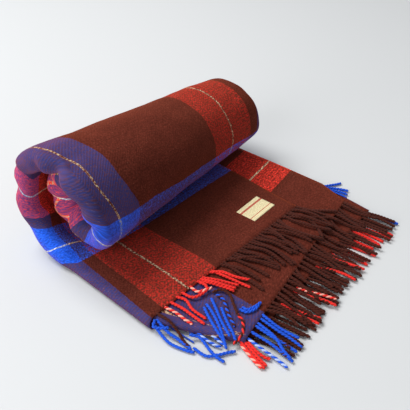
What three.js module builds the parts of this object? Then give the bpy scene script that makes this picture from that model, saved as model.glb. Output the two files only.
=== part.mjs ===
// A wool blanket with a twisted fringe: folded in half by its length, then in three by its width,
// and rolled up from the fold, with a flat tail left lying on the floor.
// Millimetres, +Z up. X runs along the roll, and the tail points toward -Y.
import * as THREE from "three";

// Cloth: the sheet's thickness and the pitch of its stacked layers
const sheetThickness = 2.2;
const layerPitch = 3.8;
const leftFoldSteps = 6;
const rightFoldSteps = 4;

// Roll: its outer spiral, counted in turns from the line where it leaves the floor
const rollTurns = 2.25;
const stepsPerTurn = 20;
const rollCentreY = 24;
const rollRadius = 103;
const turnDrop = 19; // the radius lost in each turn
const tighterDrop = 5; // and the extra loss, by the square of the turns, as the roll tightens
const nearEndX = -50;
const farEndX = 370;
const nearEndSize = 1.11; // the roll is fuller at its near end
const farEndSize = 0.875;

// Tail: the places along it where the section is set out, from the roll's foot (0)
// to the end of sheet B (-1) and the end of sheet A (-2)
const tailPlacesB = [-0.35, -0.7, -1];
const tailPlacesA = [-0.35, -0.7, -1, -1.6, -2];

// Fringe
const strandPitch = 10.2;
const strandWidth = 5.4;
const strandHeight = 3.2;
const strandLength = 62;
const strandLengthChange = 4;
const strandSway = 2.2;
const fannedStrands = 5; // the strands at a fringe's left end that may fan out
const stripWidth = 3;
const clearance = 0.3;

// Label
const labelSize = { x: 64, y: 42, z: 0.6 };
const labelCentre = { x: 214, y: -158 };
const labelTurn = THREE.MathUtils.degToRad(-2);

const colours = { brown: 0x4a2018, red: 0xd8302a, blue: 0x1f4fc0, cream: 0xe8dcae };

// The two halves of the blanket's length. B is the outer half, A lies inside it.
// A row is one place along the roll or tail: the X of the left flap's edge, of the left fold,
// of the right fold and of the right flap's edge, and the layer of the left flap, panel and right flap.
const halfB = {
  rows: [
    { place: -1, flapEdge: 268, left: -108, right: 374, innerEdge: -62, layers: [5, 0, 3] },
    { place: 0, flapEdge: 296, left: -96, right: 370, innerEdge: -56, layers: [5, 0, 3] },
    { place: 0.3, flapEdge: 300, left: -88, right: 371, innerEdge: -50, layers: [5, 0, 3] },
    { place: 0.6, flapEdge: 306, left: -94, right: 374, innerEdge: -54, layers: [5, 0, 3] },
    { place: 0.75, flapEdge: 310, left: -82, right: 390, innerEdge: -42, layers: [5, 0, 3] },
    { place: 1, flapEdge: 322, left: -38, right: 392, innerEdge: 2, layers: [5, 0, 3] },
    { place: 1.4, flapEdge: 330, left: -40, right: 386, innerEdge: 0, layers: [5, 0, 3] },
    { place: 2.25, flapEdge: 340, left: -6, right: 380, innerEdge: 34, layers: [5, 0, 3] },
  ],
  // The Y where the sheet ends, at the six corners of its folded section
  endLine: [-215, -180, -186, -204, -206, -196],
};
const halfA = {
  rows: [
    { place: -2, flapEdge: 326, left: -42, right: 358, innerEdge: -24, layers: [3.8, 0, 1.3] },
    { place: -1.6, flapEdge: 331, left: -66, right: 362, innerEdge: -46, layers: [4, 1, 2] },
    { place: -1, flapEdge: 338, left: -97, right: 367, innerEdge: -64, layers: [4, 1, 2] },
    { place: 0, flapEdge: 352, left: -89, right: 364, innerEdge: -58, layers: [4, 1, 2] },
    { place: 0.3, flapEdge: 352, left: -81, right: 365, innerEdge: -52, layers: [4, 1, 2] },
    { place: 0.6, flapEdge: 354, left: -87, right: 368, innerEdge: -56, layers: [4, 1, 2] },
    { place: 0.75, flapEdge: 360, left: -75, right: 384, innerEdge: -44, layers: [4, 1, 2] },
    { place: 1, flapEdge: 366, left: -31, right: 386, innerEdge: 0, layers: [4, 1, 2] },
    { place: 1.4, flapEdge: 364, left: -33, right: 380, innerEdge: -2, layers: [4, 1, 2] },
    { place: 2.25, flapEdge: 360, left: 1, right: 374, innerEdge: 32, layers: [4, 1, 2] },
  ],
  endLine: [-277, -311, -314, -321, -322, -316],
};

const lerp = THREE.MathUtils.lerp;

// The row of a half at any place, between the two rows of its table that it lies between
function rowAt(rows, place) {
  const next = Math.max(1, rows.findIndex((row) => row.place >= place - 1e-9));
  const [a, b] = [rows[next - 1], rows[next]];
  const share = (place - a.place) / (b.place - a.place);
  const between = (key) => lerp(a[key], b[key], share);
  return {
    flapEdge: between("flapEdge"),
    left: between("left"),
    right: between("right"),
    innerEdge: between("innerEdge"),
    layers: a.layers.map((layer, i) => lerp(layer, b.layers[i], share)),
  };
}

// The height of a layer's middle above the floor
const layerHeight = (layer) => layer * layerPitch + sheetThickness / 2;

// The folded section of a half: from the left flap's edge, round the left fold, along the panel,
// round the right fold to the right flap's edge. Each point has a side direction and its corner,
// which says how far along the end line's six corners it is.
function sectionOf(row) {
  const [flap, panel, inner] = row.layers.map(layerHeight);
  const leftRadius = (flap - panel) / 2;
  const rightRadius = (inner - panel) / 2;
  const points = [{ x: row.flapEdge, h: flap, side: [0, 1], corner: 0 }];
  for (let i = 0; i <= leftFoldSteps; i += 1) {
    const angle = (Math.PI * i) / leftFoldSteps;
    const side = [-Math.sin(angle), Math.cos(angle)];
    const x = row.left + leftRadius + leftRadius * side[0];
    points.push({ x, h: panel + leftRadius + leftRadius * side[1], side, corner: 1 + i / leftFoldSteps });
  }
  for (let i = 0; i <= rightFoldSteps; i += 1) {
    const angle = (Math.PI * i) / rightFoldSteps;
    const side = [Math.sin(angle), -Math.cos(angle)];
    const x = row.right - rightRadius + rightRadius * side[0];
    points.push({ x, h: panel + rightRadius + rightRadius * side[1], side, corner: 3 + i / rightFoldSteps });
  }
  points.push({ x: row.innerEdge, h: inner, side: [0, 1], corner: 5 });
  return points;
}

// The Y where a half ends, at any corner value along its folded section
function endAt(half, corner) {
  const first = Math.min(Math.floor(corner), half.endLine.length - 2);
  return lerp(half.endLine[first], half.endLine[first + 1], corner - first);
}

// A point of the folded section, put on the roll or on the tail
function place(x, h, where, corner) {
  if (where < 0) {
    const nearEnd = lerp(rollCentreY, endAt(halfB, corner), Math.min(-where, 1));
    const y = where < -1 ? lerp(nearEnd, endAt(halfA, corner), -where - 1) : nearEnd;
    return new THREE.Vector3(x, y, h);
  }
  const size = lerp(nearEndSize, farEndSize, (x - nearEndX) / (farEndX - nearEndX));
  const radius = size * (rollRadius - tighterDrop * where ** 2) - turnDrop * where - h;
  const angle = 2 * Math.PI * where;
  const y = rollCentreY + radius * Math.sin(angle);
  return new THREE.Vector3(x, y, size * rollRadius - radius * Math.cos(angle));
}

// A list of corner points and triangles that becomes one closed geometry
class Skin {
  positions = [];
  triangles = [];

  point(vector) {
    this.positions.push(vector.x, vector.y, vector.z);
    return this.positions.length / 3 - 1;
  }

  face(...corners) {
    for (let i = 2; i < corners.length; i += 1) {
      this.triangles.push(corners[0], corners[i - 1], corners[i]);
    }
  }

  geometry() {
    const geometry = new THREE.BufferGeometry();
    geometry.setAttribute("position", new THREE.Float32BufferAttribute(this.positions, 3));
    geometry.setIndex(this.triangles);
    geometry.computeVertexNormals();
    return geometry;
  }
}

function clothMaterial(color) {
  return new THREE.MeshStandardMaterial({ color, roughness: 0.95, metalness: 0 });
}

// The cloth: both halves, one inside the other, joined by the fold at the roll's core
function makeBlanket() {
  const skin = new Skin();
  const turns = Array.from(
    { length: Math.round(rollTurns * stepsPerTurn) + 1 },
    (_, i) => rollTurns - i / stepsPerTurn,
  );

  // One face of a half: a row of points for each place, moved to one side of the sheet's middle
  const faceOf = (half, places, way) => places.map((where) =>
    sectionOf(rowAt(half.rows, where)).map((point) => {
      const shift = (way * sheetThickness) / 2;
      const x = point.x + shift * point.side[0];
      return skin.point(place(x, point.h + shift * point.side[1], where, point.corner));
    }));
  const placesB = [...turns, ...tailPlacesB];
  const placesA = [...turns, ...tailPlacesA];
  const outerB = faceOf(halfB, placesB, 1);
  const innerB = faceOf(halfB, placesB.slice(1), -1);
  const innerA = faceOf(halfA, placesA.slice(1), 1);
  const outerA = faceOf(halfA, placesA, -1);
  const last = outerB[0].length - 1;

  const cover = (face, flip) => {
    for (let j = 1; j < face.length; j += 1) {
      for (let i = 1; i <= last; i += 1) {
        const corners = [face[j - 1][i - 1], face[j - 1][i], face[j][i], face[j][i - 1]];
        skin.face(...(flip ? corners.reverse() : corners));
      }
    }
  };
  cover(outerB, false);
  cover(innerB, true);
  cover(innerA, false);
  cover(outerA, true);

  // A seam joins two rows of points, side by side
  const seam = (rowOne, rowTwo) => {
    for (let i = 1; i <= last; i += 1) {
      skin.face(rowOne[i - 1], rowOne[i], rowTwo[i], rowTwo[i - 1]);
    }
  };
  seam(outerB.at(-1), innerB.at(-1));
  seam(innerA.at(-1), outerA.at(-1));
  seam(outerA[0], outerB[0]);
  seam(innerB[0], innerA[0]);

  // The edges along the two long sides of each half, from the first place after the core
  const edges = (one, two) => {
    for (let j = 1; j < one.length; j += 1) {
      skin.face(one[j - 1][0], one[j][0], two[j][0], two[j - 1][0]);
      skin.face(one[j][last], one[j - 1][last], two[j - 1][last], two[j][last]);
    }
  };
  edges(outerB.slice(1), innerB);
  edges(innerA, outerA.slice(1));
  const coreRows = [outerB[0], outerB[1], innerB[0], innerA[0], outerA[1], outerA[0]];
  const coreEdge = (i) => coreRows.map((row) => row[i]);
  skin.face(...coreEdge(0));
  skin.face(...coreEdge(last).reverse());

  const mesh = new THREE.Mesh(skin.geometry(), clothMaterial(colours.brown));
  mesh.name = "blanket";
  return mesh;
}

// A fringe: a narrow strip along an end of the cloth, with the strands growing out of its front.
// from and to are the ends of the cloth's edge, with the height of its middle there.
// rest is the height of the strands' middle where they lie, and steps the segments of a strand.
function makeFringe({ name, color, from, to, rest, steps, spread = 0 }) {
  const skin = new Skin();
  const start = new THREE.Vector3(...from);
  const end = new THREE.Vector3(...to);
  const count = Math.floor((start.distanceTo(end) - strandWidth) / strandPitch);
  const inset = (start.distanceTo(end) - (count - 1) * strandPitch) / 2 / start.distanceTo(end);

  // The strip's section at a share of its length: back below, back above, front above, front below
  const stripAt = (share) => {
    const middle = start.clone().lerp(end, share);
    const half = sheetThickness / 2;
    const back = middle.y - clearance;
    return [[back, -half], [back, half], [back - stripWidth, half], [back - stripWidth, -half]].map(
      ([y, dz]) => skin.point(new THREE.Vector3(middle.x, y, middle.z + dz)));
  };
  const halfShare = strandWidth / 2 / start.distanceTo(end);
  const sections = [stripAt(0)];
  const roots = [];
  for (let i = 0; i < count; i += 1) {
    const share = lerp(inset, 1 - inset, i / (count - 1));
    roots.push({ share, first: sections.length });
    sections.push(stripAt(share - halfShare), stripAt(share + halfShare));
  }
  sections.push(stripAt(1));

  const isRoot = new Set(roots.map((root) => root.first));
  for (let k = 1; k < sections.length; k += 1) {
    for (let side = 0; side < 4; side += 1) {
      const next = (side + 1) % 4;
      if (side === 2 && isRoot.has(k - 1)) continue;
      skin.face(sections[k - 1][side], sections[k - 1][next], sections[k][next], sections[k][side]);
    }
  }
  skin.face(...sections[0].toReversed());
  skin.face(...sections.at(-1));

  // Strands sway a little to either side, and settle from the strip's height to where they lie
  for (const [i, root] of roots.entries()) {
    const middle = start.clone().lerp(end, root.share);
    const fan = spread * Math.max(0, 1 - i / fannedStrands);
    const sway = strandSway * Math.sin(2.4 * i) - fan;
    const length = strandLength + strandLengthChange * Math.sin(1.7 * i + 1);
    const [a, b] = [sections[root.first], sections[root.first + 1]];
    let ring = [a[2], b[2], b[3], a[3]];
    for (let s = 1; s <= steps; s += 1) {
      const along = s / steps;
      const settled = Math.min(1, 2 * along);
      const x = middle.x + sway * settled;
      const y = middle.y - clearance - stripWidth - length * along;
      const z = lerp(middle.z, rest, settled);
      const half = strandWidth / 2;
      const tall = strandHeight / 2;
      const next = [[-half, tall], [half, tall], [half, -tall], [-half, -tall]].map(
        ([dx, dz]) => skin.point(new THREE.Vector3(x + dx, y, z + dz)));
      for (let side = 0; side < 4; side += 1) {
        const other = (side + 1) % 4;
        skin.face(ring[side], next[side], next[other], ring[other]);
      }
      ring = next;
    }
    skin.face(...ring.toReversed());
  }
  const mesh = new THREE.Mesh(skin.geometry(), clothMaterial(color));
  mesh.name = `fringe_${name}`;
  return mesh;
}

// The end edges of a half's three layers, inside the rounds of its folds
function edgesOf(half, where) {
  const row = rowAt(half.rows, where);
  const [flap, panel, inner] = row.layers.map(layerHeight);
  const leftRadius = (flap - panel) / 2;
  const rightRadius = (inner - panel) / 2;
  const [flapEdgeY, flapFoldY, panelLeftY, panelRightY, innerFoldY, innerEdgeY] = half.endLine;
  return {
    flap: [[row.left + leftRadius, flapFoldY, flap], [row.flapEdge, flapEdgeY, flap]],
    panel: [[row.left + leftRadius, panelLeftY, panel], [row.right - rightRadius, panelRightY, panel]],
    inner: [[row.innerEdge, innerEdgeY, inner], [row.right - rightRadius, innerFoldY, inner]],
  };
}

// Strands lie on the floor, or on the layer or the strands below them
const floorRest = strandHeight / 2;
const restOn = (layer) => layerHeight(layer) + sheetThickness / 2 + clearance + strandHeight / 2;

function makeFringes() {
  const upper = edgesOf(halfB, -1);
  const lower = edgesOf(halfA, -2);
  const stacked = strandHeight + 2 * clearance;
  const { brown, red, blue } = colours;
  const list = [
    { name: "upper_flap", color: red, edge: upper.flap, rest: restOn(4), steps: 3, spread: 22 },
    { name: "upper_panel", color: blue, edge: upper.panel, rest: floorRest, steps: 1 },
    { name: "upper_inner", color: brown, edge: upper.inner, rest: layerHeight(3), steps: 1 },
    { name: "lower_flap", color: brown, edge: lower.flap, rest: floorRest + 2 * stacked, steps: 3 },
    { name: "lower_panel", color: blue, edge: lower.panel, rest: floorRest, steps: 2 },
    { name: "lower_inner", color: red, edge: lower.inner, rest: floorRest + stacked, steps: 2, spread: 26 },
  ];
  return list.map(({ edge: [from, to], ...rest }) => makeFringe({ from, to, ...rest }));
}

// The sewn label: a thin plain patch on the left flap
function makeLabel() {
  const geometry = new THREE.BoxGeometry(labelSize.x, labelSize.y, labelSize.z);
  const material = new THREE.MeshStandardMaterial({ color: colours.cream, roughness: 0.8, metalness: 0 });
  const mesh = new THREE.Mesh(geometry, material);
  mesh.name = "label";
  const top = layerHeight(5) + sheetThickness / 2;
  mesh.position.set(labelCentre.x, labelCentre.y, top + clearance + labelSize.z / 2);
  mesh.rotation.z = labelTurn;
  return mesh;
}

// The whole blanket, moved so that the middle of its underside is the origin
const folded = new THREE.Group();
folded.add(makeBlanket(), ...makeFringes(), makeLabel());
const box = new THREE.Box3().setFromObject(folded);
folded.position.set(-(box.min.x + box.max.x) / 2, -(box.min.y + box.max.y) / 2, -box.min.z);

const blanketGroup = new THREE.Group();
blanketGroup.add(folded);
export default blanketGroup;
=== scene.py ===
import math
import random
import bmesh
import bpy
from mathutils import Matrix, Vector, noise


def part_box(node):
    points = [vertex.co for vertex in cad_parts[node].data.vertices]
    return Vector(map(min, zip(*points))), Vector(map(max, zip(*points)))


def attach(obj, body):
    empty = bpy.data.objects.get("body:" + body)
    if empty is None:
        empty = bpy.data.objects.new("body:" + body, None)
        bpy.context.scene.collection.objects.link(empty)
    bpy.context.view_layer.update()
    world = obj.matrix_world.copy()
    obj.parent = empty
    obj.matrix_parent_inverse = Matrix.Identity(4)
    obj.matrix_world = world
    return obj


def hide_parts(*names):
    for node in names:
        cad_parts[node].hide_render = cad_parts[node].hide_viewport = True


# A plaid wool blanket, folded in three and rolled up, with a fringed tail
# Sizes are in mm, and toFrame turns them to metres
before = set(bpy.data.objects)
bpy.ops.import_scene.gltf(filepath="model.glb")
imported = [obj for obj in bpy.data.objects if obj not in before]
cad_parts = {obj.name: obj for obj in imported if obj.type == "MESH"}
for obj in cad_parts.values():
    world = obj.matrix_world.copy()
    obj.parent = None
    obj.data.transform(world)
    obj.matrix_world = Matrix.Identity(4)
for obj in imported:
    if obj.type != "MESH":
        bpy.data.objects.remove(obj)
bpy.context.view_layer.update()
scene = bpy.context.scene
noise.seed_set(3)  # without a seed, the noise of the settled cloth differs from run to run
mm = 0.001
label = {"size": (64, 42, 0.6), "middle": (214, -158, 21.8), "turn": math.radians(-2)}
labelLow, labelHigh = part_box("label")
zero = Vector((  # where this script's own zero lies in the frame, taken from the label's solid
    (labelLow[0] + labelHigh[0]) / 2 - label["middle"][0] * mm,
    (labelLow[1] + labelHigh[1]) / 2 - label["middle"][1] * mm,
    0,
))


def linear(hexColour):
    parts = [int(hexColour[i:i + 2], 16) / 255 for i in (1, 3, 5)]
    return [c / 12.92 if c <= 0.04045 else ((c + 0.055) / 1.055) ** 2.4 for c in parts] + [1.0]


def addNode(tree, kind, settings=None, inputs=None, links=None):
    node = tree.nodes.new(kind)
    for name, value in (settings or {}).items():
        setattr(node, name, value)
    for key, value in (inputs or {}).items():
        node.inputs[key].default_value = value
    for key, source in (links or {}).items():
        tree.links.new(source, node.inputs[key])
    return node


def lerp(a, b, share):
    return a + (b - a) * share


def smooth(share):
    share = min(1, max(0, share))
    return share * share * (3 - 2 * share)


def newMaterial(name):
    material = bpy.data.materials.new(name)
    material.use_nodes = True
    tree = material.node_tree
    return material, tree, tree.nodes["Principled BSDF"]


def toObject(name, mesh, material, nodes):
    piece = bpy.data.objects.new(name, mesh)
    scene.collection.objects.link(piece)
    mesh.materials.append(material)
    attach(piece, "root")
    if nodes:
        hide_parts(*nodes)
    return piece


# Camera, in the frame's own metres
view = {
    "place": (-0.6201, -0.4484, 0.6650),
    "forward": (0.6201, 0.4810, -0.6198),
    "right": (0.6129, -0.7902, 0.0),
    "focal": 551,  # in pixels of the picture
    "halfWidth": 205,
}
camera = bpy.data.objects.new("camera", bpy.data.cameras.new("camera"))
scene.collection.objects.link(camera)
forward = Vector(view["forward"]).normalized()
right = Vector(view["right"]).normalized()
up = right.cross(forward)
turned = Matrix((right, up, -forward)).transposed().to_4x4()
camera.matrix_world = Matrix.Translation(view["place"]) @ turned
camera.data.angle = 2 * math.atan(view["halfWidth"] / view["focal"])
camera.data.dof.use_dof = False
scene.camera = camera
print("camera set")


# The fold and the roll, as the solids have them
cloth = {
    "thickness": 2.4,
    "layerPitch": 3.8,
    "layerBase": 1.1,
    "turns": 2.25,
    "centreY": 24,
    "radius": 103,
    "turnDrop": 19,
    "tighterDrop": 5,
    "nearEnd": (-50, 1.11),
    "farEnd": (370, 0.875),
    "columns": (46, 14, 54, 8, 16),  # left flap, left fold, panel, right fold, right flap
    "flat": (1.30, 2.25),
}
# place, left flap's edge, left fold, right fold, right flap's edge, layers of flap, panel and right flap
outerRows = [
    (-1, 268, -108, 374, -62, 5, 0, 3), (0, 296, -96, 370, -56, 5, 0, 3), (0.3, 300, -88, 371, -50, 5, 0, 3),
    (0.6, 306, -94, 374, -54, 5, 0, 3), (0.75, 310, -82, 390, -42, 5, 0, 3), (1, 322, -38, 392, 2, 5, 0, 3),
    (1.4, 330, -40, 386, 0, 5, 0, 3), (2.25, 340, -6, 380, 34, 5, 0, 3),
]
innerRows = [
    (-2, 342, -42, 358, -24, 3.8, 0, 1.3), (-1.6, 352, -66, 362, -46, 4, 1, 2),
    (-1, 366, -97, 367, -64, 4, 1, 2), (0, 374, -89, 364, -58, 4, 1, 2), (0.3, 352, -81, 365, -52, 4, 1, 2),
    (0.6, 354, -87, 368, -56, 4, 1, 2), (0.75, 360, -75, 384, -44, 4, 1, 2), (1, 366, -31, 386, 0, 4, 1, 2),
    (1.4, 364, -33, 380, -2, 4, 1, 2), (2.25, 360, 1, 374, 32, 4, 1, 2),
]
# How far each end reaches along Y, at the six corners across the folded width
outerEnd = [-215, -180, -186, -204, -206, -196]
innerEnd = [-277, -311, -314, -321, -322, -316]


def plainRow(rows, where):
    where = min(max(where, rows[0][0]), rows[-1][0])
    for a, b in zip(rows, rows[1:]):
        if where <= b[0]:
            share = (where - a[0]) / (b[0] - a[0])
            return [lerp(p, q, share) for p, q in zip(a, b)]


def rowAt(rows, where):  # the rows' straight runs, rounded a little where they meet
    near = [plainRow(rows, where + step) for step in (-0.06, 0, 0.06)]
    return [(a + 2 * b + c) / 4 for a, b, c in zip(*near)]


def endAt(line, corner):
    first = min(int(corner), len(line) - 2)
    return lerp(line[first], line[first + 1], corner - first)


def layerHeight(layer):
    return layer * cloth["layerPitch"] + cloth["layerBase"]


def placeOn(x, h, where, corner):
    if where < 0:
        nearY = lerp(cloth["centreY"], endAt(outerEnd, corner), min(-where, 1))
        y = lerp(nearY, endAt(innerEnd, corner), -where - 1) if where < -1 else nearY
        return Vector((x, y, h))
    (nearX, nearSize), (farX, farSize) = cloth["nearEnd"], cloth["farEnd"]
    size = lerp(nearSize, farSize, (x - nearX) / (farX - nearX))
    radius = size * (cloth["radius"] - cloth["tighterDrop"] * where ** 2) - cloth["turnDrop"] * where - h
    angle = 2 * math.pi * where
    y = cloth["centreY"] + radius * math.sin(angle)
    z = size * cloth["radius"] - radius * math.cos(angle)
    return Vector((x, y, z))


# Main creases and dents: a point in mm, its reach along X, Y and Z, and the push at its middle
dents = [
    ((-80, 124, 128), (60, 26, 20), (4, -10, 0)),    # waist low on the back of the near end
    ((60, -60, 196), (70, 22, 26), (0, 1, -2.5)),    # shallow hollow along the top of the roll
    ((190, -40, 190), (60, 30, 26), (0, 0.5, 2)),    # and a soft rise
    ((300, -50, 160), (50, 30, 26), (0, 1.5, -1.5)),
]


def settle(point):
    x, y, z = point
    push = Vector((0, 0, 0))
    for middle, reach, way in dents:
        far = sum(((p - m) / r) ** 2 for p, m, r in zip(point, middle, reach))
        if far < 8:
            push += Vector(way) * math.exp(-far)
    high = smooth((z - 24) / 40)
    slow = noise.noise_vector(point / 75)
    push += slow * 3.2 * high + noise.noise_vector(point / 30) * 1.1 * high
    wave = 1.3 * math.sin(x / 44 + y / 90) * math.sin(y / 52 - x / 130 + 0.8)
    push.z += wave * min(1, z / 24) * (1 - high) * smooth((-y - 10) / 40)
    return point + push


def toFrame(point):
    return point * mm + zero


# The soft left fold stands fuller than its flat layers on the roll's open end: turns, and mm of loft
rimLofts = [(-0.14, 0), (0.06, 16), (0.75, 17), (0.92, 24), (1.02, 44), (1.45, 46), (1.75, 0), (2.3, 0)]
# Creases across that fold: turns, half width in turns, and mm of depth
rimCreases = [
    (0.135, 0.03, 4), (0.333, 0.02, 7), (0.46, 0.022, 5), (0.535, 0.03, 13), (0.655, 0.03, 4),
    (0.74, 0.025, 5), (1.08, 0.03, 5), (1.2, 0.035, 7), (1.33, 0.03, 6),
]
rimFlat = 19  # mm between flap and panel where the loft is whole


def foldShape(row):  # heights of the three layers, loft and crease of the left fold, and the folds' radii
    where = row[0]
    flap, panel, inner = [layerHeight(layer) for layer in row[5:]]
    loft = 0
    for (a, low), (b, high) in zip(rimLofts, rimLofts[1:]):
        if a <= where <= b:
            loft = lerp(low, high, smooth((where - a) / (b - a)))
    crease = sum(depth * math.exp(-((where - place) / half) ** 2) for place, half, depth in rimCreases)
    loft = max(0, loft - 0.7 * crease) * (flap - panel) / rimFlat
    return flap, panel, inner, loft, crease, (flap + loft - panel) / 2, (inner - panel) / 2


def sectionAt(row, column):
    flapEdge, left, rightX, innerEdge = row[1:5]
    flap, panel, inner, loft, crease, leftR, rightR = foldShape(row)
    left += crease - 0.45 * loft
    counts = cloth["columns"]
    for part, count in enumerate(counts):
        if column < count or part == 4:
            break
        column -= count
    share = column / count
    if part == 0:
        x = lerp(flapEdge, left + leftR, share)
        return x, flap + loft * smooth(1 - (x - left - leftR) / 52), share, part, share
    if part == 1:
        angle = math.pi * share
        x, h = left + leftR - leftR * math.sin(angle), panel + leftR + leftR * math.cos(angle)
        return x, h, 1 + share, part, share
    if part == 2:
        x = lerp(left + leftR, rightX - rightR, share)
        return x, panel + 0.35 * crease * math.exp(-((x - left) / 55) ** 2), 2 + share, part, share
    if part == 3:
        angle = math.pi * share
        x, h = rightX - rightR + rightR * math.sin(angle), panel + rightR - rightR * math.cos(angle)
        return x, h, 3 + share, part, share
    return lerp(rightX - rightR, innerEdge, share), inner, 4 + share, part, share


# The plaid: places in mm across the cloth from the left flap's edge, and along it from the upper end
plaid = {
    "width": 1330,
    "length": 2447,
    "panelZero": 511,  # where X = 0 falls on the panel
    "foldRun": 37,
    "repeat": 475,
    "firstBlue": 166,
    "acrossRepeat": 498,
    "firstRed": 229,
    "innerBlue": 481,
    "innerShift": 20,
    "skews": [(0.46, 0.12, 14), (0.62, 0.14, 18)],  # stripes drift from the rim: turns, run in turns, mm
    "tailRun": 204,
    "slip": 60,  # the panel lies this far ahead of the flap
    "across": [(0, "red"), (64, "cream"), (68, "red"), (121, "brown"), (147, "blue"), (203, "cream"),
               (207, "blue"), (252, "brown")],
    "along": [(0, "blue"), (38, "cream"), (41, "blue"), (100, "brown"), (128, "red"), (190, "cream"),
              (194, "red"), (245, "brown")],
}
yarns = {"brown": "#52231A", "red": "#E0362C", "blue": "#2058D4", "cream": "#F0DCB4"}


def acrossAt(row, part, share, x, inner):
    loft, crease, leftR, rightR = foldShape(row)[3:]
    left = row[2] + crease - 0.45 * loft
    start = plaid["panelZero"] + left + leftR
    foldRun = max(plaid["foldRun"], 2.4 * leftR)
    finish = plaid["panelZero"] + row[3] - rightR - 12
    if part == 0 and inner:  # the inner half's flap shows blue at its fold, then the wide brown
        return plaid["innerBlue"] + (x - 15) * (0.5 if x < 15 else 0.7)
    if part == 0:
        stretch = lerp(1.03, 1.15, smooth(row[0] + 1))
        redEdge = left + leftR + (start - foldRun - plaid["firstRed"]) / stretch
        if x < redEdge:
            return plaid["firstRed"] + (redEdge - x) * stretch
        return plaid["firstRed"] * (1 - (x - redEdge) / (row[1] - redEdge))
    skew = sum(far * smooth((row[0] - first) / run) for first, run, far in plaid["skews"])
    if part == 1:
        return lerp(start - foldRun, start if inner else start - skew, share)
    if inner and part == 4:
        return plaid["innerBlue"] + 505 + (row[3] - rightR - x) * 0.62
    if part == 2:
        if inner:
            return plaid["panelZero"] + x + plaid["innerShift"]
        return plaid["panelZero"] + x + (-12 * smooth((x - 325) / 30) - skew * smooth((280 - x) / 260))
    if part == 3:
        return finish + math.pi * rightR * share
    return finish + math.pi * rightR + row[3] - rightR - x


# The cloth's run round the near end: its spiral, where it tightens, and the stripes' spread either side
rollPull = {
    "spiral": (113.3, 1.85, 9.5),
    "tightens": 0.75,
    "runThere": 495.6,
    "before": 1.017,
    "after": 0.62,
}


def rollRun(where):
    plain, cube, square = rollPull["spiral"]
    first, last = [2 * math.pi * (plain * t - cube * t ** 3 - square * t ** 2)
                   for t in (min(where, rollPull["tightens"]), max(where, rollPull["tightens"]))]
    return rollPull["before"] * first + rollPull["after"] * (last - rollPull["runThere"])


def alongAt(half, where, corner, x):
    tail = cloth["centreY"] - endAt(outerEnd, corner)
    slip = plaid["slip"] * smooth((corner - 0.6) / 1.6)
    tailRun = plaid["tailRun"]
    if half == 0:
        if where < 0:
            return tail * (1 + where) - slip
        if where > 1.5:
            return lerp(tailRun - slip + rollRun(1.5), plaid["length"] / 2, (where - 1.5) / 0.75)
        narrower = lerp(1, 0.96, (x + 90) / 460)  # the far end is a little thinner
        return lerp(tail, tailRun, smooth(where / 0.3)) - slip + rollRun(where) * narrower
    tail = cloth["centreY"] - endAt(innerEnd, corner)
    if where < -1:
        y = lerp(endAt(outerEnd, corner), endAt(innerEnd, corner), -where - 1)
        return plaid["length"] - (y - endAt(innerEnd, corner))
    if where < 0:
        y = lerp(cloth["centreY"], endAt(outerEnd, corner), -where)
        return plaid["length"] - (y - endAt(innerEnd, corner))
    return lerp(plaid["length"] - tail, plaid["length"] / 2, where / cloth["turns"])


def steps(start, end, count, last=False):
    return [lerp(start, end, i / count) for i in range(count + (1 if last else 0))]


def makeBlanket(material):
    turns = cloth["turns"]
    rowsList = [(0, where) for where in steps(-1, 0, 24) + steps(0, 1.15, 92) + steps(1.15, turns, 44, True)]
    rowsList += [(0, turns + 0.004), (1, turns + 0.004)]
    rowsList += [(1, where) for where in steps(turns, 0, 60) + steps(0, -1, 18) + steps(-1, -2, 18, True)]
    columns = sum(cloth["columns"]) + 1
    points, maps = [], []
    for half, where in rowsList:
        row = rowAt(outerRows if half == 0 else innerRows, where)
        row[0] = where
        for column in range(columns):
            x, h, corner, part, share = sectionAt(row, column)
            points.append(toFrame(settle(placeOn(x, h, where, corner))))
            across = acrossAt(row, part, share, x, half == 1) / plaid["width"]
            maps.append((across, alongAt(half, where, corner, x) / plaid["length"]))
    bm = bmesh.new()
    bmesh.ops.create_grid(bm, x_segments=columns - 1, y_segments=len(rowsList) - 1, size=0.5)
    uv = bm.loops.layers.uv.new("weave")
    spots = {}
    for vert in bm.verts:
        i, j = round((vert.co.x + 0.5) * (columns - 1)), round((vert.co.y + 0.5) * (len(rowsList) - 1))
        spots[vert.index] = j * columns + i
    for face in bm.faces:
        for loop in face.loops:
            loop[uv].uv = maps[spots[loop.vert.index]]
        face.smooth = True
    for vert in bm.verts:
        vert.co = points[spots[vert.index]]
    bm.normal_update()
    mesh = bpy.data.meshes.new("blanket_cloth")
    bm.to_mesh(mesh)
    bm.free()
    piece = toObject("blanket_cloth", mesh, material, ["blanket"])
    thick = piece.modifiers.new("thickness", "SOLIDIFY")
    thick.thickness = cloth["thickness"] * mm
    thick.offset = 0
    print("blanket cloth made:", len(mesh.polygons), "faces")
    return piece


# Real sizes in mm; the ribs and yarns are drawn coarser than real so that they show
twill = {
    "ribRun": 5.4,    # counted across and along together: ribs 3.8 mm apart, where the real ones are 2.6 mm
    "edgeRun": 9,
    "edgeWander": 1.1,
    "patch": 28,
    "fibre": 0.42,    # per mm: brushed fibres, about 2.4 mm
    "yarn": 0.27,     # yarns that rise or sink, about 3.7 mm
    "lint": 0.55,     # a few pale loose fibres, about 1.8 mm
    "roughness": 0.95,
    "specular": 0.06,
    "sheen": (0.6, 0.45, "#B0502F"),
}


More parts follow.
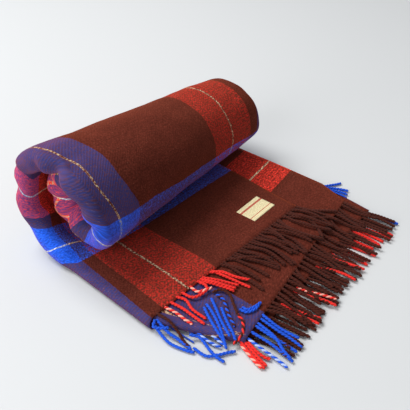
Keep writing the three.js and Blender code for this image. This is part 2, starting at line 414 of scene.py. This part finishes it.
# Brushed wool twill: soft diagonal ribs, warp and weft yarns that mix to new shades where stripes cross
def woolTwill():
    material, tree, shader = newMaterial("brushed_wool_twill")
    uv = addNode(tree, "ShaderNodeUVMap", {"uv_map": "weave"}).outputs["UV"]
    apart = addNode(tree, "ShaderNodeSeparateXYZ", links={0: uv})
    across = addNode(tree, "ShaderNodeMath", {"operation": "MULTIPLY"}, {1: plaid["width"]},
                     {0: apart.outputs["X"]}).outputs[0]
    along = addNode(tree, "ShaderNodeMath", {"operation": "MULTIPLY"}, {1: plaid["length"]},
                    {0: apart.outputs["Y"]}).outputs[0]
    flatSpot = addNode(tree, "ShaderNodeCombineXYZ", links={0: across, 1: along}).outputs[0]
    waver = addNode(tree, "ShaderNodeTexNoise", inputs={"Scale": 1 / twill["edgeRun"], "Detail": 2.0},
                    links={"Vector": flatSpot})
    wander = addNode(tree, "ShaderNodeMapRange",
                     inputs={"To Min": -twill["edgeWander"], "To Max": twill["edgeWander"]},
                     links={"Value": waver.outputs["Fac"]}).outputs[0]  # stripes' edges wander by a yarn

    def stripes(place, span, offset, table):
        moved = addNode(tree, "ShaderNodeMath", {"operation": "ADD"}, {1: -offset}, {0: place}).outputs[0]
        moved = addNode(tree, "ShaderNodeMath", {"operation": "ADD"}, links={0: moved, 1: wander}).outputs[0]
        share = addNode(tree, "ShaderNodeMath", {"operation": "DIVIDE"}, {1: span}, {0: moved}).outputs[0]
        share = addNode(tree, "ShaderNodeMath", {"operation": "FRACT"}, links={0: share}).outputs[0]
        ramp = addNode(tree, "ShaderNodeValToRGB", links={0: share})
        ramp.color_ramp.interpolation = "CONSTANT"
        ramp.color_ramp.elements.remove(ramp.color_ramp.elements[1])
        for i, (start, yarn) in enumerate(table):
            element = ramp.color_ramp.elements[0] if i == 0 else ramp.color_ramp.elements.new(start / span)
            element.position = start / span
            element.color = linear(yarns[yarn])
        return addNode(tree, "ShaderNodeGamma", inputs={"Gamma": 1 / 2.2},
                       links={0: ramp.outputs[0]}).outputs[0]

    warp = stripes(across, plaid["acrossRepeat"], plaid["firstRed"], plaid["across"])
    weft = stripes(along, plaid["repeat"], plaid["firstBlue"], plaid["along"])

    # Twill ribs
    slant = addNode(tree, "ShaderNodeMath", {"operation": "ADD"}, links={0: across, 1: along}).outputs[0]
    ribs = addNode(tree, "ShaderNodeMath", {"operation": "MULTIPLY"}, {1: 2 * math.pi / twill["ribRun"]},
                   {0: slant}).outputs[0]
    ribs = addNode(tree, "ShaderNodeMath", {"operation": "SINE"}, links={0: ribs}).outputs[0]
    fluff = addNode(tree, "ShaderNodeTexNoise",
                    inputs={"Scale": twill["fibre"], "Detail": 4.0, "Roughness": 0.75},
                    links={"Vector": flatSpot}).outputs["Fac"]
    lift = addNode(tree, "ShaderNodeMath", {"operation": "MULTIPLY_ADD"}, {1: 0.045, 2: 0.17},
                   {0: ribs}).outputs[0]
    yarnSpots = addNode(tree, "ShaderNodeTexNoise", inputs={"Scale": twill["yarn"], "Detail": 1.5},
                        links={"Vector": flatSpot}).outputs["Fac"]
    spotted = addNode(tree, "ShaderNodeMapRange", {"clamp": False}, {"From Min": 0.33, "From Max": 0.67},
                      {"Value": yarnSpots}).outputs[0]
    redness = addNode(tree, "ShaderNodeSeparateColor", links={0: warp}).outputs[0]
    reach = addNode(tree, "ShaderNodeMath", {"operation": "MULTIPLY_ADD"}, {1: 1.1, 2: 0.12},
                    {0: redness}).outputs[0]  # red warp shows most between the weft
    risen = addNode(tree, "ShaderNodeMath", {"operation": "SUBTRACT"}, {1: 0.5}, {0: spotted}).outputs[0]
    share = addNode(tree, "ShaderNodeMath", {"operation": "MULTIPLY_ADD"},
                    links={0: risen, 1: reach, 2: lift}).outputs[0]
    share = addNode(tree, "ShaderNodeMath", {"operation": "MULTIPLY_ADD", "use_clamp": True}, {1: 0.9},
                    {0: fluff, 2: share}).outputs[0]
    woven = addNode(tree, "ShaderNodeMix", {"data_type": "RGBA"})
    tree.links.new(share, woven.inputs[0])
    tree.links.new(warp, woven.inputs[6])
    tree.links.new(weft, woven.inputs[7])

    # Brushing lifts paler fibre ends in soft patches
    patches = addNode(tree, "ShaderNodeTexNoise",
                      inputs={"Scale": 1 / twill["patch"], "Detail": 4.0, "Roughness": 0.6},
                      links={"Vector": flatSpot}).outputs["Fac"]
    shade = addNode(tree, "ShaderNodeMapRange", inputs={"From Min": 0.3, "From Max": 0.7, "To Min": 0.93,
                    "To Max": 1.07}, links={"Value": patches}).outputs[0]
    grain = addNode(tree, "ShaderNodeMapRange", inputs={"From Min": 0.25, "From Max": 0.75, "To Min": 0.8,
                    "To Max": 1.2}, links={"Value": fluff}).outputs[0]
    shade = addNode(tree, "ShaderNodeMath", {"operation": "MULTIPLY"}, links={0: shade, 1: grain}).outputs[0]
    tuft = addNode(tree, "ShaderNodeMapRange", inputs={"To Min": 0.86, "To Max": 1.14},
                   links={"Value": spotted}).outputs[0]
    shade = addNode(tree, "ShaderNodeMath", {"operation": "MULTIPLY"}, links={0: shade, 1: tuft}).outputs[0]
    toned = addNode(tree, "ShaderNodeVectorMath", {"operation": "SCALE"},
                    links={0: woven.outputs[2], "Scale": shade}).outputs[0]
    lint = addNode(tree, "ShaderNodeTexNoise", inputs={"Scale": twill["lint"], "Detail": 0.0},
                   links={"Vector": flatSpot}).outputs["Fac"]
    lint = addNode(tree, "ShaderNodeMapRange", inputs={"From Min": 0.77, "From Max": 0.83, "To Max": 0.35},
                   links={"Value": lint}).outputs[0]
    linty = addNode(tree, "ShaderNodeMix", {"data_type": "RGBA"})
    tree.links.new(lint, linty.inputs[0])
    tree.links.new(toned, linty.inputs[6])
    linty.inputs[7].default_value = (0.8, 0.62, 0.5, 1)
    colour = addNode(tree, "ShaderNodeGamma", inputs={"Gamma": 2.2}, links={0: linty.outputs[2]}).outputs[0]
    tree.links.new(colour, shader.inputs["Base Color"])

    height = addNode(tree, "ShaderNodeMath", {"operation": "MULTIPLY_ADD"}, {1: 0.22},
                     {0: ribs, 2: fluff}).outputs[0]
    bump = addNode(tree, "ShaderNodeBump", inputs={"Strength": 0.6, "Distance": 0.9 * mm},
                   links={"Height": height})
    tree.links.new(bump.outputs[0], shader.inputs["Normal"])
    weight, spread, tint = twill["sheen"]
    shader.inputs["Roughness"].default_value = twill["roughness"]
    shader.inputs["Specular IOR Level"].default_value = twill["specular"]
    shader.inputs["Sheen Weight"].default_value = weight
    shader.inputs["Sheen Roughness"].default_value = spread
    shader.inputs["Sheen Tint"].default_value = linear(tint)
    return material


# Twisted wool yarn: two soft plies round each other, matt, with a fuzz of loose fibres
def twistedYarn():
    material, tree, shader = newMaterial("twisted_wool_yarn")
    dye = addNode(tree, "ShaderNodeAttribute", {"attribute_name": "dye"}).outputs["Color"]
    spot = addNode(tree, "ShaderNodeTexCoord").outputs["Object"]
    fluff = addNode(tree, "ShaderNodeTexNoise", inputs={"Scale": 900.0, "Detail": 3.0},
                    links={"Vector": spot})  # fibres about 1.1 mm apart
    shade = addNode(tree, "ShaderNodeMapRange", inputs={"From Min": 0.25, "From Max": 0.75, "To Min": 0.72,
                    "To Max": 1.25}, links={"Value": fluff.outputs["Fac"]}).outputs[0]
    toned = addNode(tree, "ShaderNodeVectorMath", {"operation": "SCALE"},
                    links={0: dye, "Scale": shade}).outputs[0]
    tree.links.new(toned, shader.inputs["Base Color"])
    bump = addNode(tree, "ShaderNodeBump", inputs={"Strength": 0.5, "Distance": 0.5 * mm},
                   links={"Height": fluff.outputs["Fac"]})
    tree.links.new(bump.outputs[0], shader.inputs["Normal"])
    shader.inputs["Roughness"].default_value = 0.9
    shader.inputs["Specular IOR Level"].default_value = 0.15
    shader.inputs["Sheen Weight"].default_value = 0.06
    shader.inputs["Sheen Roughness"].default_value = 0.5
    return material


# Fringe strands
fringe = {
    "pitch": 10.2,
    "plyRadius": 2.05,
    "twistRadius": 0.9,
    "twistPitch": 11.5,
    "length": 63,
    "rootIn": 1.5,
    "handSize": 0.92,
    "sides": 6,
    "steps": 42,
}
strandDyes = {"brown": "#42190F", "red": "#D62C26", "blue": "#1C50C6", "cream": "#E4D4B4",
              "paleRed": "#E8A090", "paleBlue": "#A4B6E6"}


def yarnAt(across):
    place = (across - plaid["firstRed"]) % plaid["acrossRepeat"]
    return [yarn for start, yarn in plaid["across"] if place >= start][-1]


def smoothPath(corners, count):
    out = []
    padded = [corners[0] * 2 - corners[1]] + corners + [corners[-1] * 2 - corners[-2]]
    for i in range(count + 1):
        place = i / count * (len(corners) - 1)
        k = min(int(place), len(corners) - 2)
        t = place - k
        a, b, c, d = padded[k:k + 4]
        out.append(0.5 * ((2 * b) + (c - a) * t + (2 * a - 5 * b + 4 * c - d) * t * t
                          + (3 * b - 3 * c + d - a) * t * t * t))
    return out


class YarnHeap:
    def __init__(self):
        self.verts, self.faces, self.dyes = [], [], []

    def strand(self, corners, dyeA, dyeB, size=1.0, phase=0.0):
        path = smoothPath(corners, fringe["steps"])
        sides = fringe["sides"]
        run = 0
        rings = [[], []]
        for i, point in enumerate(path):
            ahead = path[min(i + 1, len(path) - 1)] - path[max(i - 1, 0)]
            ahead.normalize()
            run += (point - path[i - 1]).length if i else 0
            sideways = ahead.cross(Vector((0, 0, 1))).normalized()
            upward = sideways.cross(ahead)
            end = min(1, (len(path) - 1 - i) / 2 + 0.35, i / 1.5 + 0.6)
            for ply in (0, 1):
                angle = phase + math.pi * ply + 2 * math.pi * run / fringe["twistPitch"]
                outward = sideways * math.cos(angle) + upward * math.sin(angle)
                middle = point + outward * fringe["twistRadius"] * size
                ring = []
                for k in range(sides):
                    turn = 2 * math.pi * k / sides
                    around = sideways * math.cos(turn) + upward * math.sin(turn)
                    ring.append(toFrame(middle + around * fringe["plyRadius"] * size * end))
                rings[ply].append(ring)
        for ply, dye in ((0, dyeA), (1, dyeB)):
            first = len(self.verts)
            for ring in rings[ply]:
                self.verts += ring
                self.dyes += [dye] * sides
            for i in range(len(rings[ply]) - 1):
                for k in range(sides):
                    a, b = first + i * sides + k, first + i * sides + (k + 1) % sides
                    self.faces.append((a, a + sides, b + sides, b))
            self.faces.append(tuple(first + k for k in range(sides)))
            last = first + (len(rings[ply]) - 1) * sides
            self.faces.append(tuple(last + sides - 1 - k for k in range(sides)))

    def piece(self, name, material, slot, node):
        mesh = bpy.data.meshes.new(name)
        mesh.from_pydata([tuple(v) for v in self.verts], [], self.faces)
        for face in mesh.polygons:
            face.use_smooth = True
        dyes = mesh.color_attributes.new("dye", "FLOAT_COLOR", "POINT")
        for i, dye in enumerate(self.dyes):
            dyes.data[i].color = dye
        print(name, "made:", len(mesh.polygons), "faces")
        return toObject(name, mesh, material, [node])


def topOfInner(x, y):  # the height of what lies under the upper fringe
    row = rowAt(innerRows, -1 - min(1, max(0, (-y - 195) / 115)))
    edge = row[2] + 6
    inside = smooth((x - edge + 8) / 14) * smooth((y + 322) / 14)
    return inside * (layerHeight(row[5]) + 1.2)


def edgeLine(rows, where, line, part):
    row = rowAt(rows, where)
    row[0] = where
    flap, panel, inner = [layerHeight(layer) for layer in row[5:]]
    leftR, rightR = (flap - panel) / 2, (inner - panel) / 2
    ends = {
        0: ((row[2] + leftR, line[1], flap), (row[1], line[0], flap)),
        2: ((row[2] + leftR, line[2], panel), (row[3] - rightR, line[3], panel)),
        4: ((row[4], line[5], inner), (row[3] - rightR, line[4], inner)),
    }
    return row, ends[part]


def makeFringe(spec, material):
    random.seed(spec["seed"])
    rows, where, line = spec["rows"], spec["where"], spec["line"]
    row, (start, end) = edgeLine(rows, where, line, spec["part"])
    heap = YarnHeap()
    width = end[0] - start[0]
    count = int((width - 5) / spec.get("pitch", fringe["pitch"]))
    for i in range(count):
        share = (i + 0.5 + random.uniform(-0.18, 0.18)) / count
        x, y, z = [lerp(a, b, share) for a, b in zip(start, end)]
        root = Vector((x, y + fringe["rootIn"], z))
        if root.x < spec.get("from", -1000):
            continue
        across = acrossAt(row, spec["part"], 0, root.x, where == -2)
        yarn = yarnAt(across)
        if yarn == "cream":
            yarn = "red"
        dyeA = dyeB = linear(strandDyes[yarn])
        if random.random() < spec.get("mixed", 0.03):
            dyeB = linear(strandDyes[{"red": "paleRed", "blue": "paleBlue"}.get(yarn, yarn)])
        length = spec.get("length", fringe["length"]) * random.uniform(0.86, 1.1)
        lean = spec["lean"](root.x) + random.gauss(0, spec["spread"])
        bow = random.gauss(0, spec["bow"])
        corners = []
        for k in range(6):
            along = k / 5
            x = root.x + lean * along + bow * math.sin(math.pi * along)
            y = root.y - math.sqrt(max(0.2, length ** 2 - lean ** 2)) * along
            corners.append(Vector((x, y, spec["height"](x, y, root.z, along, i))))
        if spec["part"] == 0:
            corners = [settle(c) for c in corners]
        heap.strand(corners, dyeA, dyeB, spec.get("size", 1.0), random.uniform(0, 6.28))
    for dyeA, dyeB, corners in handLaid.get(spec["name"], []):
        heap.strand([Vector(c) for c in corners], linear(strandDyes[dyeA]), linear(strandDyes[dyeB]),
                    fringe["handSize"])
    return heap.piece(spec["name"], material, spec["slot"], spec["name"])


def onInner(x, y, rootZ, along, i):
    rest = topOfInner(x, y) + 3.4 + (0, 3.2, 1.2, 5)[i % 4] * math.sin(math.pi * along)
    return lerp(rootZ, rest, smooth(along * 2.2))


def onFloor(x, y, rootZ, along, i):
    return lerp(rootZ, 3.1, smooth(along * 2))


def onStrands(high):
    def height(x, y, rootZ, along, i):
        return lerp(rootZ, high - 2.5 * along + (2.0 if i % 2 else 0), smooth(along * 1.8))
    return height


# Strands laid one by one where the photo shows their own curls: dyes of the two plies, and points in mm
handLaid = {
    "fringe_upper_flap": [
        ("blue", "blue", [(-102, -186, 12), (-107, -206, 7), (-109, -225, 4),
                          (-104, -249, 3.3), (-99, -262, 3.3)]),
        ("blue", "blue", [(-94, -184, 15), (-98, -210, 9), (-97, -230, 5), (-98, -255, 4)]),
        ("blue", "blue", [(-97, -184, 17), (-106, -189, 13), (-101, -199, 12), (-93, -208, 13)]),
        ("brown", "brown", [(-88, -180, 20), (-87, -203, 19), (-89, -222, 10),
                            (-94, -236, 6), (-98, -250, 5)]),
        ("red", "paleRed", [(-72, -182, 21), (-70, -202, 21), (-71, -220, 20), (-70, -235, 18)]),
        ("red", "red", [(-59, -182, 21), (-58, -205, 22), (-59, -227, 21), (-60, -250, 20)]),
        ("red", "red", [(-45, -182, 21), (-42, -199, 22), (-50, -219, 21.5), (-51, -246, 20)]),
        ("red", "red", [(-33, -183, 21), (-33, -202, 23), (-24, -210, 24), (-9, -213, 25), (0, -205, 24),
                        (0, -192, 22.5)]),
        ("red", "paleRed", [(-15, -185, 21), (-19, -203, 24), (-13, -210, 26), (2, -217, 25)]),
        ("red", "red", [(0, -187, 21), (10, -210, 23), (16, -230, 22), (20, -247, 21)]),
        ("red", "red", [(12, -188, 21), (20, -212, 24), (27, -229, 23), (34, -246, 22)]),
        ("red", "red", [(7, -188, 21), (13, -213, 26), (20, -232, 24), (26, -246, 22)]),
        ("red", "red", [(29, -191, 21), (40, -208, 24), (45, -231, 23), (56, -254, 21)]),
        ("red", "red", [(34, -192, 21), (37, -221, 22), (40, -244, 21), (43, -262, 20)]),
        ("brown", "brown", [(-3, -221, 21), (9, -229, 22), (9, -245, 22.5),
                            (-2, -260, 22), (-15, -278, 21)]),
        ("blue", "blue", [(-83, -239, 10), (-76, -253, 7), (-83, -278, 4),
                          (-86, -292, 3.4), (-86, -306, 3.3)]),
        ("blue", "blue", [(-94, -255, 3.4), (-94, -278, 3.4), (-82, -291, 3.4),
                          (-70, -300, 3.6), (-61, -308, 4)]),
        ("blue", "paleBlue", [(-69, -237, 12), (-72, -250, 8), (-72, -270, 5), (-69, -287, 4)]),
        ("blue", "paleBlue", [(-62, -251, 14), (-63, -266, 10), (-63, -282, 6), (-63, -293, 5)]),
        ("brown", "red", [(-15, -278, 21), (-22, -292, 20), (-39, -303, 17), (-57, -300, 9)]),
        ("blue", "blue", [(-14, -227, 21), (-26, -245, 21), (-41, -267, 20), (-54, -292, 18)]),
        ("blue", "blue", [(-28, -228, 21), (-36, -246, 21), (-50, -270, 19), (-69, -297, 8)]),
        ("blue", "blue", [(-35, -229, 20.5), (-46, -247, 20.5), (-57, -270, 18), (-62, -287, 12)]),
        ("blue", "brown", [(-3, -229, 21), (-5, -244, 21.5), (-22, -265, 21), (-36, -288, 19)]),
        ("blue", "blue", [(-19, -250, 20), (-35, -272, 20), (-46, -291, 18), (-51, -301, 12)]),
        ("blue", "blue", [(-5, -274, 20), (-3, -286, 20.5), (10, -293, 20.5), (23, -292, 20)]),
        ("blue", "blue", [(1, -275, 20), (2, -285, 21), (17, -291, 21), (27, -292, 20)]),
    ],
    "fringe_upper_panel": [
        ("blue", "blue", [(362, -205, 3.4), (384, -220, 3.3), (398, -231, 3.3), (409, -238, 3.3)]),
        ("blue", "blue", [(358, -205, 3.4), (372, -228, 3.3), (380, -248, 3.3), (382, -266, 3.3)]),
        ("blue", "blue", [(364, -205, 3.4), (380, -228, 3.3), (389, -246, 3.3), (394, -262, 3.3)]),
        ("blue", "blue", [(352, -205, 3.4), (368, -232, 3.3), (372, -252, 3.3), (370, -270, 3.3)]),
    ],
    "fringe_lower_flap": [
        ("blue", "blue", [(3, -308, 15.5), (2, -339, 12), (4, -360, 8), (3, -381, 5)]),
        ("blue", "blue", [(-13, -309, 15.5), (-12, -340, 11), (-10, -360, 8), (-9, -380, 5)]),
        ("blue", "blue", [(-26, -309, 15), (-23, -341, 10), (-24, -365, 6), (-26, -383, 4)]),
        ("blue", "blue", [(-7, -309, 16), (-11, -341, 13), (-21, -363, 9), (-26, -379, 7)]),
        ("blue", "paleBlue", [(-37, -311, 12), (-38, -339, 9), (-37, -360, 5), (-39, -382, 3.5)]),
    ],
    "fringe_lower_inner": [
        ("red", "red", [(-45, -304, 8), (-52, -326, 5), (-57, -345, 4), (-60, -357, 3.4)]),
        ("red", "red", [(-42, -309, 9), (-48, -329, 6), (-53, -346, 5), (-55, -357, 4)]),
        ("red", "red", [(-40, -314, 9), (-45, -333, 7), (-45, -347, 5), (-42, -355, 4)]),
        ("red", "red", [(42, -314, 9), (46, -338, 9), (52, -360, 8), (55, -380, 7)]),
        ("red", "red", [(52, -314, 9), (54, -336, 9), (60, -358, 8), (66, -378, 7)]),
        ("red", "red", [(88, -315, 9), (92, -340, 10), (100, -362, 9), (104, -384, 7)]),
        ("red", "paleRed", [(98, -315, 9), (100, -338, 11), (108, -358, 10), (116, -378, 7)]),
        ("red", "red", [(160, -316, 9), (166, -340, 10), (172, -362, 9), (174, -383, 6)]),
        ("red", "red", [(196, -317, 9), (194, -340, 10), (200, -364, 9), (206, -384, 6)]),
        ("red", "paleRed", [(-48, -307, 6), (-55, -327, 4), (-60, -343, 3.4), (-62, -354, 3.3)]),
    ],
}

fringes = [
    {"name": "fringe_upper_flap", "slot": "yarn_red", "rows": outerRows,
     "where": -1, "line": outerEnd, "part": 0,
     "seed": 11, "lean": lambda x: 7 * math.sin(x / 33) + 16 * smooth((x - 170) / 60),
     "spread": 13, "bow": 7, "height": onInner, "mixed": 0, "from": 50, "pitch": 7.0, "length": 84},
    {"name": "fringe_upper_panel", "slot": "yarn_blue", "rows": outerRows,
     "where": -1, "line": outerEnd, "part": 2,
     "seed": 12, "lean": lambda x: 0, "spread": 1.5, "bow": 0.5, "height": lambda *a: 1.7, "size": 0.5},
    {"name": "fringe_upper_inner", "slot": "yarn_brown", "rows": outerRows,
     "where": -1, "line": outerEnd, "part": 4,
     "seed": 13, "lean": lambda x: 0, "spread": 1.5, "bow": 0.5,
     "height": lambda x, y, z, along, i: layerHeight(3) - 0.6, "size": 0.5},
    {"name": "fringe_lower_flap", "slot": "yarn_brown", "rows": innerRows,
     "where": -2, "line": innerEnd, "part": 0,
     "seed": 14, "lean": lambda x: 4 * math.sin(x / 30 + 1), "spread": 7, "bow": 4,
     "height": onStrands(12), "from": 10},
    {"name": "fringe_lower_panel", "slot": "yarn_blue", "rows": innerRows,
     "where": -2, "line": innerEnd, "part": 2,
     "seed": 15, "lean": lambda x: 0, "spread": 4, "bow": 2, "height": onFloor},
    {"name": "fringe_lower_inner", "slot": "yarn_red", "rows": innerRows,
     "where": -2, "line": innerEnd, "part": 4,
     "seed": 16, "lean": lambda x: 0, "spread": 5, "bow": 3, "height": onStrands(8)},
]

# Woven label tape: a cream satin weave with two plain red bands, matt, pressed down at its edge
def labelTape():
    material, tree, shader = newMaterial("woven_label_tape")
    uv = addNode(tree, "ShaderNodeUVMap", {"uv_map": "tape"}).outputs["UV"]
    weave = addNode(tree, "ShaderNodeTexBrick", {"offset": 0.5}, {
        "Color1": linear("#EBE0B8"), "Color2": linear("#E2D5A8"), "Mortar": linear("#CDBE90"), "Scale": 1.0,
        "Mortar Size": 0.12, "Brick Width": 1.2, "Row Height": 0.6,
    }, {"Vector": uv})  # threads, drawn 1.2 mm long
    apart = addNode(tree, "ShaderNodeSeparateXYZ", links={0: uv})
    high = addNode(tree, "ShaderNodeMath", {"operation": "DIVIDE"}, {1: label["size"][1]},
                   {0: apart.outputs["Y"]}).outputs[0]
    band = addNode(tree, "ShaderNodeValToRGB", links={0: high})
    band.color_ramp.interpolation = "CONSTANT"
    stops = [(0.0, 0), (0.2, 1), (0.235, 0), (0.7, 1), (0.8, 0)]
    band.color_ramp.elements.remove(band.color_ramp.elements[1])
    for i, (place, on) in enumerate(stops):
        element = band.color_ramp.elements[0] if i == 0 else band.color_ramp.elements.new(place)
        element.position = place
        element.color = (on, on, on, 1)
    mixed = addNode(tree, "ShaderNodeMix", {"data_type": "RGBA"})
    tree.links.new(band.outputs[0], mixed.inputs[0])
    tree.links.new(weave.outputs["Color"], mixed.inputs[6])
    mixed.inputs[7].default_value = linear("#B4523E")
    tree.links.new(mixed.outputs[2], shader.inputs["Base Color"])
    bump = addNode(tree, "ShaderNodeBump", inputs={"Strength": 0.5, "Distance": 0.2 * mm},
                   links={"Height": weave.outputs["Fac"]})
    tree.links.new(bump.outputs[0], shader.inputs["Normal"])
    shader.inputs["Roughness"].default_value = 0.8
    return material


def makeLabel(material):
    bm = bmesh.new()
    wide, deep, tall = label["size"]
    bmesh.ops.create_grid(bm, x_segments=26, y_segments=18, size=0.5)
    uv = bm.loops.layers.uv.new("tape")
    spin = Matrix.Rotation(label["turn"], 3, "Z")
    for face in bm.faces:
        face.smooth = True
        for loop in face.loops:
            loop[uv].uv = ((loop.vert.co.x + 0.5) * wide, (loop.vert.co.y + 0.5) * deep)
    for vert in bm.verts:
        x, y = vert.co.x * wide, vert.co.y * deep
        edge = max(abs(vert.co.x), abs(vert.co.y)) * 2
        spot = spin @ Vector((x, y, 0.35 - 0.25 * edge ** 8)) + Vector(label["middle"])
        vert.co = toFrame(settle(spot))
    mesh = bpy.data.meshes.new("label_tape")
    bm.to_mesh(mesh)
    bm.free()
    piece = toObject("label_tape", mesh, material, ["label"])
    thick = piece.modifiers.new("thickness", "SOLIDIFY")
    thick.thickness = tall * mm
    thick.offset = -1
    print("label made")
    return piece


blanketPiece = makeBlanket(woolTwill())
yarn = twistedYarn()
fringePieces = [makeFringe(spec, yarn) for spec in fringes]
labelPiece = makeLabel(labelTape())


# Floor and light
studio = {"floor": "#C3C5C6", "sky": "#F2F3F5"}


def makeFloor():
    bm = bmesh.new()
    bmesh.ops.create_grid(bm, x_segments=1, y_segments=1, size=12)
    mesh = bpy.data.meshes.new("floor")
    bm.to_mesh(mesh)
    bm.free()
    floor = bpy.data.objects.new("floor", mesh)
    floor.location = (0, 0, -0.0005)
    scene.collection.objects.link(floor)
    material, tree, shader = newMaterial("matt_paper_floor")
    shader.inputs["Base Color"].default_value = linear(studio["floor"])
    shader.inputs["Roughness"].default_value = 0.9
    mesh.materials.append(material)


def addLamp(name, place, aim, size, power):
    lamp = bpy.data.lights.new(name, "AREA")
    lamp.size = size
    lamp.energy = power
    holder = bpy.data.objects.new(name, lamp)
    holder.location = place
    holder.rotation_euler = (Vector(aim) - Vector(place)).to_track_quat("-Z", "Y").to_euler()
    scene.collection.objects.link(holder)


makeFloor()
addLamp("key", (-0.5, 2.1, 3.6), (0, 0, 0.05), 2.2, 195)
addLamp("fill", (-2.6, 0.2, 1.2), (0, 0, 0.08), 2.0, 48)
world = scene.world or bpy.data.worlds.new("studio")
scene.world = world
world.use_nodes = True
sky = world.node_tree.nodes["Background"]
sky.inputs["Color"].default_value = linear(studio["sky"])
sky.inputs["Strength"].default_value = 0.42
scene.view_settings.view_transform = "Standard"
print("studio set")
